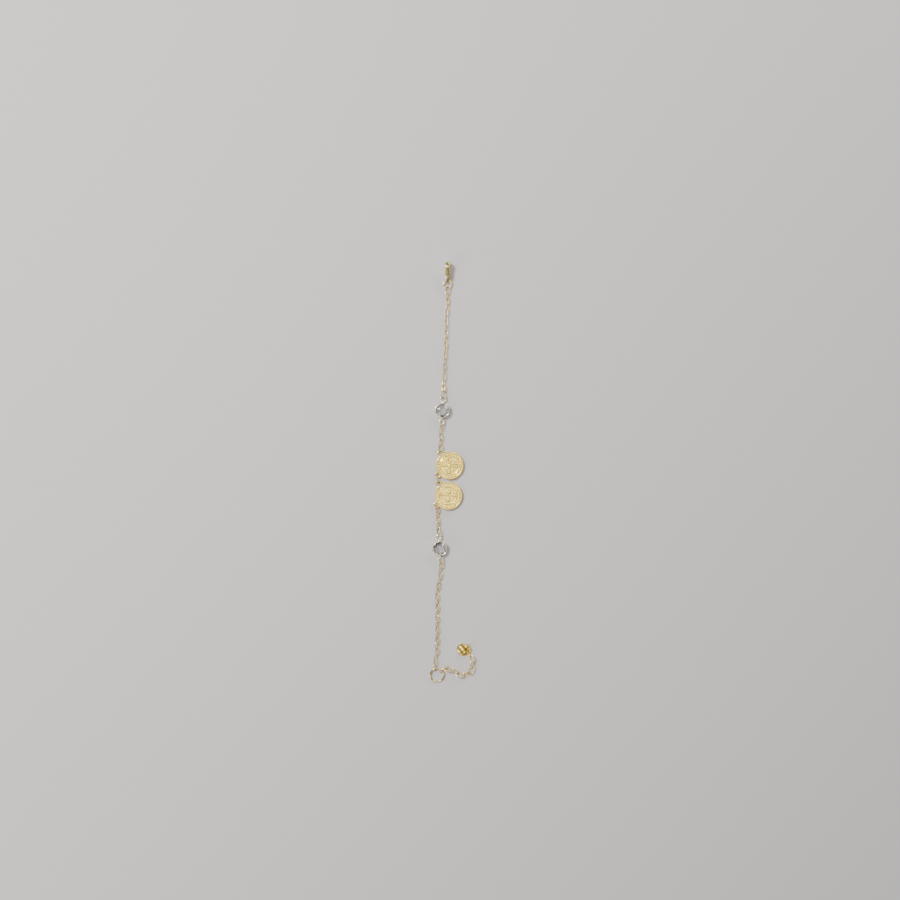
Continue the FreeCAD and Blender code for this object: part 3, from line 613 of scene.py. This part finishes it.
def cup_mesh():
    """The cup: a turned foot, a flared wall with a fine groove and a lip rubbed over the stone."""
    foot = [(2.36, 0.02), (2.42, 0.0), (2.6, 0.0), (2.7, 0.04), (2.78, 0.16)]
    flare = [(3.0, 0.45), (3.14, 0.62), (3.22, 0.74), (BEZEL_RADIUS, 0.88)]
    groove = [(BEZEL_RADIUS, 1.0), (3.21, 1.05), (3.19, 1.1), (3.21, 1.15), (BEZEL_RADIUS, 1.2)]
    wall = [(BEZEL_RADIUS, 1.6), (BEZEL_RADIUS, 2.05)]
    lip = arc_points(LIP_CENTRE, LIP_ROUNDING, 20, 160, 8)
    seat = [(2.8, 2.12), (2.9, 2.02), (3.03, 1.9), (3.03, 1.68), (2.7, 1.5), (2.37, 1.32)]
    inside = [(2.35, 1.2), (2.35, 0.6), (2.35, 0.1)]
    profile = foot + flare + groove + wall + lip + seat + inside
    points = []
    for radius, level in profile:
        lobes = LIP_LOBE_DEPTH * max(0.0, min(1.0, (level - 2.0) / 0.3))
        for step in range(BEZEL_STEPS):
            turn = 2 * math.pi * step / BEZEL_STEPS
            reach = radius + lobes * math.cos(LIP_LOBES * turn)
            points.append((reach * math.cos(turn), reach * math.sin(turn), level))
    return points, grid_faces(len(profile), BEZEL_STEPS, wrap_rows=True)


def cut_stone():
    """A round brilliant, made by cutting flat facets off a cylinder."""
    mesh = bmesh.new()
    bmesh.ops.create_cone(
        mesh,
        cap_ends=True,
        segments=64,
        radius1=STONE_RADIUS,
        radius2=STONE_RADIUS,
        depth=STONE_DEPTH,
    )
    bmesh.ops.translate(mesh, verts=mesh.verts, vec=(0, 0, STONE_MIDDLE))
    for count, first, slope, radius, level in STONE_FACETS:
        for number in range(count):
            turn = math.radians(first + 360 * number / count)
            lean = math.radians(slope)
            normal = compass(turn) * abs(math.sin(lean))
            normal.z = math.copysign(math.cos(lean), slope)
            spot = compass(turn) * radius
            spot.z = level
            bmesh.ops.bisect_plane(
                mesh,
                geom=mesh.verts[:] + mesh.edges[:] + mesh.faces[:],
                dist=1e-5,
                plane_co=spot,
                plane_no=normal,
                clear_outer=True,
            )
            open_edges = [edge for edge in mesh.edges if edge.is_boundary]
            bmesh.ops.holes_fill(mesh, edges=open_edges)
    bmesh.ops.dissolve_limit(mesh, angle_limit=0.002, verts=mesh.verts, edges=mesh.edges)
    mesh.verts.index_update()
    points = [tuple(corner.co) for corner in mesh.verts]
    faces = [tuple(corner.index for corner in face.verts) for face in mesh.faces]
    mesh.free()
    return points, faces


def add_setting(side, before, after):
    """A cup between two hinges, with an eyelet on a neck at each, and its stone."""
    node = side + "_crystal_setting"
    near = hinge(before, node)
    far = hinge(node, after)
    run = far - near
    place = standing((near + far) / 2, math.atan2(run.y, run.x))
    points, faces = cup_mesh()
    add_piece(node + "_cup", placed(points, place), faces, node)
    half = math.hypot(run.x, run.y) / 2
    for number, turn in enumerate((0.0, math.pi), 1):
        spun = place @ Matrix.Rotation(turn, 4, "Z") @ Matrix.Translation((0, 0, EYELET_LEVEL))
        points, faces = ring_mesh(EYELET_RADIUS, EYELET_WIRE)
        ring_place = spun @ Matrix.Translation((half, 0, 0))
        add_piece("%s_eyelet_%d" % (node, number), placed(points, ring_place), faces, node)
        points, faces = neck_mesh(BEZEL_RADIUS - 0.2, half - EYELET_RADIUS + 0.05)
        add_piece("%s_neck_%d" % (node, number), placed(points, spun), faces, node)
    points, faces = cut_stone()
    stone = side + "_crystal"
    add_piece(stone + "_cut", placed(points, place), faces, stone, smooth=False)


# ---------------------------------------------------------------- struck discs


def edge_radius(turn, radius, bores, distance, bore):
    """Outline of a disc with small round bites where its loops' bores pass."""
    reach = radius
    for middle in bores:
        off = abs(math.atan2(math.sin(turn - middle), math.cos(turn - middle)))
        inside = bore**2 - (distance * math.sin(off)) ** 2
        if off < math.pi / 4 and inside > 0:
            reach = min(reach, distance * math.cos(off) - math.sqrt(inside))
    return reach


def struck_disc(whole, reach_at, top_at, bottom_at, rings, steps):
    """A closed disc of this radius whose two faces follow height functions of the local point."""
    points = [(0, 0, top_at(0.0, 0.0))]
    for shares, height_at in ((rings, top_at), (rings[::-1], bottom_at)):
        for share in shares:
            give = max(0.0, share - FIXED_SHARE) / (1 - FIXED_SHARE)
            for step in range(steps):
                turn = 2 * math.pi * step / steps
                reach = share * whole + give * (reach_at(turn) - whole)
                x = reach * math.cos(turn)
                y = reach * math.sin(turn)
                points.append((x, y, height_at(x, y)))
    rows = 2 * len(rings)
    faces = [tuple(1 + n for n in face) for face in grid_faces(rows, steps)]
    points.append((0, 0, bottom_at(0.0, 0.0)))
    last = 1 + (rows - 1) * steps
    for step in range(steps):
        after = (step + 1) % steps
        faces.append((0, 1 + after, 1 + step))
        faces.append((last + step, last + after, len(points) - 1))
    return points, faces


def ease(low, high, value):
    """0 at the low value and 1 at the high one, level beyond and smooth between them."""
    share = max(0.0, min(1.0, (value - low) / (high - low)))
    return share * share * (3 - 2 * share)


def ridge(distance, half, edge):
    """1 on a raised line of this half width, easing to 0 over its edge."""
    return 1 - ease(half, half + edge, abs(distance))


def dome(distance, radius):
    """1 over the middle of a round dome, falling to 0 at its foot."""
    return math.sqrt(max(0.0, 1 - (distance / radius) ** 2))


def rim_height(radius):
    """The raised rim and its rounded outer corner, above the field."""
    rise = (MEDAL_TOP - MEDAL_FIELD) * ease(*RIM_SLOPE, radius)
    over = max(0.0, radius - (MEDAL_RADIUS - RIM_ROUNDING)) / RIM_ROUNDING
    return rise - RIM_ROUNDING * (1 - math.sqrt(max(0.0, 1 - over * over)))


def bead_row(radius, turn):
    """1 on top of each bead of the row inside the rim, 0 between them."""
    step = 2 * math.pi / BEADS
    off = (turn + step / 2) % step - step / 2
    distance = math.hypot(radius - BEAD_CIRCLE * math.cos(off), BEAD_CIRCLE * math.sin(off))
    return dome(distance, BEAD_RADIUS)


def stipple(x, y):
    """The slightly uneven ground of a struck field."""
    spot = Vector((STIPPLE_SCALE * x, STIPPLE_SCALE * y, 0))
    return STIPPLE_RISE * fractal(spot, 0.9, 2.0, 3)


def pellet_rise(x, y, pellets):
    """The height of pellets that stand alike in all four quarters of the field."""
    heights = []
    for across, up, size, rise in pellets:
        heights.append(rise * dome(math.hypot(abs(x) - across, abs(y) - up), size))
    return max(heights)


def cross_relief(x, y):
    """A flared cross with sloping sides, a middle boss and pellets in each corner."""
    radius = math.hypot(x, y)
    along = max(abs(x), abs(y))
    aside = min(abs(x), abs(y))
    inside = min(CROSS_WAIST + CROSS_FLARE * along - aside, CROSS_REACH - along)
    arms = RELIEF_RISE * ease(0.0, 0.2, inside)
    arms -= CROSS_SUNK * ease(0.22, 0.34, inside) * ease(0.5, 0.9, along)
    boss = CROSS_BOSS_RISE * dome(radius, CROSS_BOSS)
    circle = CROSS_CIRCLE_RISE * ridge(radius - CROSS_CIRCLE, 0.05, 0.08)
    return max(arms, boss, circle, pellet_rise(x, y, CROSS_PELLETS))


def ring_relief(x, y):
    """An inner ring, a bar across it, a faceted boss either side and small pellets."""
    radius = math.hypot(x, y)
    ring = RELIEF_RISE * ridge(radius - INNER_RING, 0.1, 0.1)
    bar = BAR_RISE * ridge(y, 0.1, 0.09) if radius < BAR_REACH else 0.0
    boss_y = abs(y) - BOSS_DISTANCE
    hexagon = max(abs(x), abs(x) / 2 + abs(boss_y) * math.sqrt(3) / 2)
    boss = RELIEF_RISE * ease(0.0, BOSS_SLOPE, BOSS_SIZE - hexagon)
    return max(ring, bar, boss, pellet_rise(x, y, RING_PELLETS))


def add_medal(node, before, after, relief):
    """A medal hung by two ears on its edge, at the hinges before and after it."""
    first = hinge(before, node)
    second = hinge(node, after)
    gap = second - first
    facing = math.atan2(gap.y, gap.x) - math.pi / 2
    middle = (first + second) / 2 - compass(facing) * (EAR_DISTANCE * math.cos(math.pi / 4))
    place = standing(middle, facing)
    ears = (-math.pi / 4, math.pi / 4)

    def reach_at(turn):
        return edge_radius(turn, MEDAL_RADIUS, ears, EAR_DISTANCE, EAR_BORE)

    def top_at(x, y):
        radius = math.hypot(x, y)
        rise = max(relief(x, y), BEAD_RISE * bead_row(radius, math.atan2(y, x)))
        field = ease(*FIELD_EDGE, radius)
        return MEDAL_FIELD + rim_height(radius) + rise * field + stipple(x, y) * field

    def bottom_at(x, y):
        radius = math.hypot(x, y)
        circle = BACK_RISE * ridge(radius - BACK_CIRCLE, 0.08, 0.1)
        return MEDAL_TOP - MEDAL_FIELD - rim_height(radius) - circle

    rings = [n / 96 for n in range(1, 83)]
    rings += [FIXED_SHARE + (1 - FIXED_SHARE) * n / 22 for n in range(1, 23)]
    points, faces = struck_disc(MEDAL_RADIUS, reach_at, top_at, bottom_at, rings, MEDAL_STEPS)
    add_piece(node + "_disc", placed(points, place), faces, node)
    for number, turn in enumerate(ears, 1):
        spot = compass(turn) * EAR_DISTANCE
        spot.z = EAR_LEVEL
        points, faces = ring_mesh(EYELET_RADIUS, EYELET_WIRE)
        ring_place = place @ Matrix.Translation(spot)
        add_piece("%s_ear_%d" % (node, number), placed(points, ring_place), faces, node)


# ---------------------------------------------------------------- charm


def add_charm():
    """A domed, ribbed shell with three loops set into its edge."""
    node = "shell_charm"
    loop = hinge("charm_ring", node)
    middle = loop - compass(CHARM_FACING + CHARM_LOOP_TURNS[0]) * CHARM_LOOP_DISTANCE
    place = standing(middle, CHARM_FACING)
    rise = CHARM_TOP - CHARM_EDGE
    sphere = (CHARM_RADIUS**2 + rise**2) / (2 * rise)

    def reach_at(turn):
        return edge_radius(turn, CHARM_RADIUS, CHARM_LOOP_TURNS, CHARM_LOOP_DISTANCE, CHARM_BORE)

    def top_at(x, y):
        radius = math.hypot(x, y)
        level = CHARM_TOP - sphere + math.sqrt(sphere**2 - radius**2)
        fade = 1 - ease(*RIB_FADE, radius)
        ribs = max(dome(y - across, RIB_RADIUS) for across in RIB_PLACES)
        lines = max(ridge(abs(y) - across, 0.03, 0.06) for across in LINE_PLACES)
        return level + fade * (RIB_RISE * ribs - LINE_DEPTH * lines)

    def bottom_at(x, y):
        radius = math.hypot(x, y)
        return CHARM_HOLLOW * ease(CHARM_RADIUS - 0.2, CHARM_RADIUS, radius)

    rings = [n / CHARM_RINGS for n in range(1, CHARM_RINGS + 1)]
    points, faces = struck_disc(CHARM_RADIUS, reach_at, top_at, bottom_at, rings, CHARM_STEPS)
    add_piece(node + "_shell", placed(points, place), faces, node)
    for number, turn in enumerate(CHARM_LOOP_TURNS, 1):
        spot = compass(turn) * CHARM_LOOP_DISTANCE
        spot.z = CHARM_LOOP_LEVEL
        points, faces = ring_mesh(CHARM_LOOP_RADIUS, CHARM_LOOP_WIRE, steps=48)
        ring_place = place @ Matrix.Translation(spot)
        add_piece("%s_loop_%d" % (node, number), placed(points, ring_place), faces, node)


# ---------------------------------------------------------------- clasp


def clasp_place():
    """The clasp's own frame, from the hinge of its lever."""
    lean = math.asin((CLASP_HEAD - CLASP_EYE) / CLASP_REACH)
    along = Vector((0, math.cos(lean), math.sin(lean)))
    up = Vector((0, -math.sin(lean), math.cos(lean)))
    pivot = hinge("clasp_body", "clasp_lever")
    origin = pivot - along * CLASP_PIVOT[0] - up * CLASP_PIVOT[1]
    turn = Matrix((along, up, Vector((1, 0, 0)))).transposed()
    return Matrix.Translation(origin) @ turn.to_4x4()


def prism(name, outline, low, high):
    """An upright block on an outline, in the clasp's frame and in millimetres."""
    count = len(outline)
    points = [(x, y, low) for x, y in outline] + [(x, y, high) for x, y in outline]
    faces = [(n, (n + 1) % count, count + (n + 1) % count, count + n) for n in range(count)]
    faces.append(tuple(range(count))[::-1])
    faces.append(tuple(range(count, 2 * count)))
    mesh = bpy.data.meshes.new(name)
    mesh.from_pydata(points, [], faces)
    turn_outward(mesh)
    return add_object(name, mesh)


def apply_modifiers(thing):
    """Make an object's modifiers a permanent part of its mesh."""
    graph = bpy.context.evaluated_depsgraph_get()
    mesh = bpy.data.meshes.new_from_object(thing.evaluated_get(graph))
    thing.modifiers.clear()
    thing.data = mesh


def carve(block, cutters):
    """Cut each cutter's shape out of the block, and remove the cutters."""
    for cutter in cutters:
        cut = block.modifiers.new("cut", "BOOLEAN")
        cut.operation = "DIFFERENCE"
        cut.solver = "EXACT"
        cut.object = cutter
    apply_modifiers(block)
    for cutter in cutters:
        bpy.data.objects.remove(cutter)


def polish(block, node):
    """Break a carved block's sharp edges as tumbling does, and put it in the frame."""
    mesh = bmesh.new()
    mesh.from_mesh(block.data)
    bmesh.ops.remove_doubles(mesh, verts=mesh.verts, dist=WELD)
    bmesh.ops.dissolve_degenerate(mesh, edges=mesh.edges, dist=WELD)
    mesh.to_mesh(block.data)
    mesh.free()
    bevel = block.modifiers.new("bevel", "BEVEL")
    bevel.width = POLISH_WIDTH
    bevel.segments = 3
    bevel.limit_method = "ANGLE"
    bevel.angle_limit = math.radians(POLISH_DEGREES)
    bevel.use_clamp_overlap = True
    apply_modifiers(block)
    block.data.transform(Matrix.Scale(MM, 4) @ clasp_place())
    block.data.shade_smooth()
    block.data.set_sharp_from_angle(angle=math.radians(CREASE_DEGREES))
    dress(block, node)


def clasp_outline(shrink):
    """Two arcs, round the eye and the head, joined by straight sides."""
    eye = CLASP_EYE - shrink
    head = CLASP_HEAD - shrink
    lean = math.degrees(math.asin((CLASP_HEAD - CLASP_EYE) / CLASP_REACH))
    points = arc_points((0, 0), eye, 90 + lean, 270 - lean, 24)
    points += arc_points((CLASP_REACH, 0), head, -90 - lean, 90 + lean, 48)
    return points


def pillow(outline_at, half, corner):
    """A slab with rounded long edges, in layers from one face to the other."""
    turns = [math.radians(90 * n / 6) for n in range(7)]
    layers = [(corner * (1 - math.sin(t)), -half + corner * (1 - math.cos(t))) for t in turns]
    layers += [(shrink, -level) for shrink, level in layers[::-1]]
    outlines = [outline_at(shrink) for shrink, _ in layers]
    count = len(outlines[0])
    points = []
    for outline, (_, level) in zip(outlines, layers):
        points += [(x, y, level) for x, y in outline]
    mesh = bpy.data.meshes.new("clasp_slab")
    mesh.from_pydata(points, [], capped_faces(len(layers), count))
    turn_outward(mesh)
    return mesh


def rivet_bore():
    """A cutter for the hole that the rivet passes through."""
    outline = arc_points(CLASP_PIVOT, RIVET_BORE, 0, 350, 36)
    return prism("rivet_bore", outline, -CLASP_THICKNESS, CLASP_THICKNESS)


def add_casting():
    """The cast body: eye, mouth and its gap, the lever's slot, and flats beside the eye."""
    slab = pillow(clasp_outline, CLASP_THICKNESS / 2, CLASP_ROUNDING)
    block = add_object("clasp_casting", slab)
    deep = CLASP_THICKNESS
    eye = arc_points((0, 0), CLASP_EYE_BORE, 0, 350, 36)
    mouth = arc_points(CLASP_MOUTH, MOUTH_RADIUS, 0, 355, 72)
    gap = arc_points(CLASP_PIVOT, 3.34, 2, 46, 16) + [(4.3, 3.2), (4.3, 0.6)]
    slot = [(1.95, 0.2), (2.4, -0.4), (5.0, -0.4), (5.0, 3.2), (1.95, 3.2)]
    cutters = [
        prism("eye", eye, -deep, deep),
        prism("mouth", mouth, -deep, deep),
        prism("gap", gap, -deep, deep),
        prism("slot", slot, -SLOT_HALF, SLOT_HALF),
        rivet_bore(),
    ]
    for side, name in ((1, "flat_left"), (-1, "flat_right")):
        flat = side * SLOT_HALF
        clear = side * 1.3
        cutter = prism(name, [(-2, flat), (0.75, flat), (1.5, clear), (-2, clear)], -4, 4)
        cutter.data.transform(Matrix.Rotation(math.pi / 2, 4, "X"))
        cutters.append(cutter)
    carve(block, cutters)
    polish(block, "clasp_body")


def add_lever():
    """The lever: hub on the rivet, thumb tab behind it and a beak that shuts the mouth."""
    outline = arc_points((CLASP_REACH, 0), CLASP_HEAD - 0.03, 80.5, 101.2, 5)
    outline += [(3.85, 1.90), (3.40, 1.86), (3.02, 2.20), (2.66, 2.70), (2.38, 2.68)]
    outline += [(2.28, 2.38), (2.52, 1.80), (2.68, 1.25)]
    outline += arc_points(CLASP_PIVOT, LEVER_HUB, 180, 305, 8)
    outline += [(4.15, 0.62), (4.60, 1.02)]
    outline += arc_points(CLASP_MOUTH, MOUTH_RADIUS + LEVER_GAP, 138, 70.5, 8)
    half = LEVER_THICKNESS / 2
    lever = prism("clasp_lever_casting", outline, -half, half)
    carve(lever, [rivet_bore()])
    polish(lever, "clasp_lever")


def add_rivet():
    """A pin with a low domed head on each cheek."""
    half = CLASP_THICKNESS / 2
    profile = [(0.02, -half - 0.1), (0.2, -half - 0.09), (0.36, -half - 0.05), (0.42, -half)]
    profile += [(RIVET_RADIUS, -half + 0.03)]
    profile += [(radius, -level) for radius, level in profile[::-1]]
    last = 360 - 360 / RIVET_STEPS
    points = []
    for radius, level in profile:
        for x, y in arc_points(CLASP_PIVOT, radius, 0, last, RIVET_STEPS):
            points.append((x, y, level))
    faces = capped_faces(len(profile), RIVET_STEPS)
    add_piece("clasp_rivet_pin", placed(points, clasp_place()), faces, "clasp_rivet")


def squared(value):
    """Push a sine or cosine towards 1 or -1, which turns an oval into a rounded strip."""
    return math.copysign(abs(value) ** SPRING_CORNER, value)


def add_spring():
    """A bent leaf round the lever's hub, which the beak presses down as the mouth opens; here the
    leaf keeps one fixed shape.
    """
    first, last = SPRING_DEGREES
    thin, wide = SPRING_HALF
    points = []
    for row in range(SPRING_STEPS):
        turn = math.radians(first + (last - first) * row / (SPRING_STEPS - 1))
        for around in range(ROUND_STEPS):
            angle = 2 * math.pi * around / ROUND_STEPS
            reach = SPRING_RADIUS + thin * squared(math.cos(angle))
            x = CLASP_PIVOT[0] + reach * math.cos(turn)
            y = CLASP_PIVOT[1] + reach * math.sin(turn)
            points.append((x, y, wide * squared(math.sin(angle))))
    faces = capped_faces(SPRING_STEPS, ROUND_STEPS)
    place = clasp_place()
    leaf = add_piece("clasp_spring_leaf", placed(points, place), faces, "clasp_spring")
    foot = (CLASP_PIVOT[0], CLASP_PIVOT[1] - SPRING_RADIUS - thin, 0)
    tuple(placed([foot], place)[0])
    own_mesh(leaf)


# ---------------------------------------------------------------- stage


def add_floor():
    """A plain floor, a hair below the chain."""
    mesh = bpy.data.meshes.new("floor")
    half = FLOOR_HALF_M
    corners = [(-half, -half, 0), (half, -half, 0), (half, half, 0), (-half, half, 0)]
    mesh.from_pydata(corners, [], [(0, 1, 2, 3)])
    mesh.materials.append(pale_floor())
    floor = add_object("floor", mesh)
    floor.location.z = -FLOOR_DROP * MM


def add_light(name, place, size, power):
    """A rectangular soft light that faces the frame's origin."""
    light = bpy.data.lights.new(name, "AREA")
    light.shape = "RECTANGLE"
    light.size, light.size_y = size
    light.energy = power
    lamp = add_object(name, light)
    lamp.location = place
    lamp.rotation_mode = "QUATERNION"
    lamp.rotation_quaternion = (-Vector(place)).to_track_quat("-Z", "Y")


def add_studio():
    """A dim, even surround and the soft lights."""
    world = bpy.data.worlds.new("studio")
    world.use_nodes = True
    background = world.node_tree.nodes["Background"]
    background.inputs["Color"].default_value = opaque(SKY_TONE)
    background.inputs["Strength"].default_value = SKY_STRENGTH
    bpy.context.scene.world = world
    for name, place, size, power in LIGHTS:
        add_light(name, place, size, power)


def add_camera():
    """The photo's view, straight down on the chain."""
    lens = bpy.data.cameras.new("camera")
    lens.lens = LENS
    lens.sensor_width = SENSOR
    lens.clip_start = 0.01
    camera = add_object("camera", lens)
    camera.location = CAMERA_M
    bpy.context.scene.camera = camera


# ---------------------------------------------------------------- the whole

# nodes that have a shape of their own; every other node is one bent wire or two
NOT_WIRE = (
    "clasp_body",
    "clasp_lever",
    "clasp_rivet",
    "clasp_spring",
    "upper_crystal_setting",
    "lower_crystal_setting",
    "upper_crystal",
    "lower_crystal",
    "upper_medal",
    "lower_medal",
    "shell_charm",
)

for node in sorted(frame["nodes"]):
    if node not in NOT_WIRE:
        add_loops(node)
add_setting("upper", "upper_connector_ring", "upper_short_link_1")
add_setting("lower", "lower_short_link_5", "lower_connector_link")
add_medal("upper_medal", "upper_short_link_5", "medal_link", cross_relief)
add_medal("lower_medal", "medal_link", "lower_short_link_1", ring_relief)
add_charm()
add_casting()
add_lever()
add_rivet()
add_spring()
add_floor()
add_studio()
add_camera()
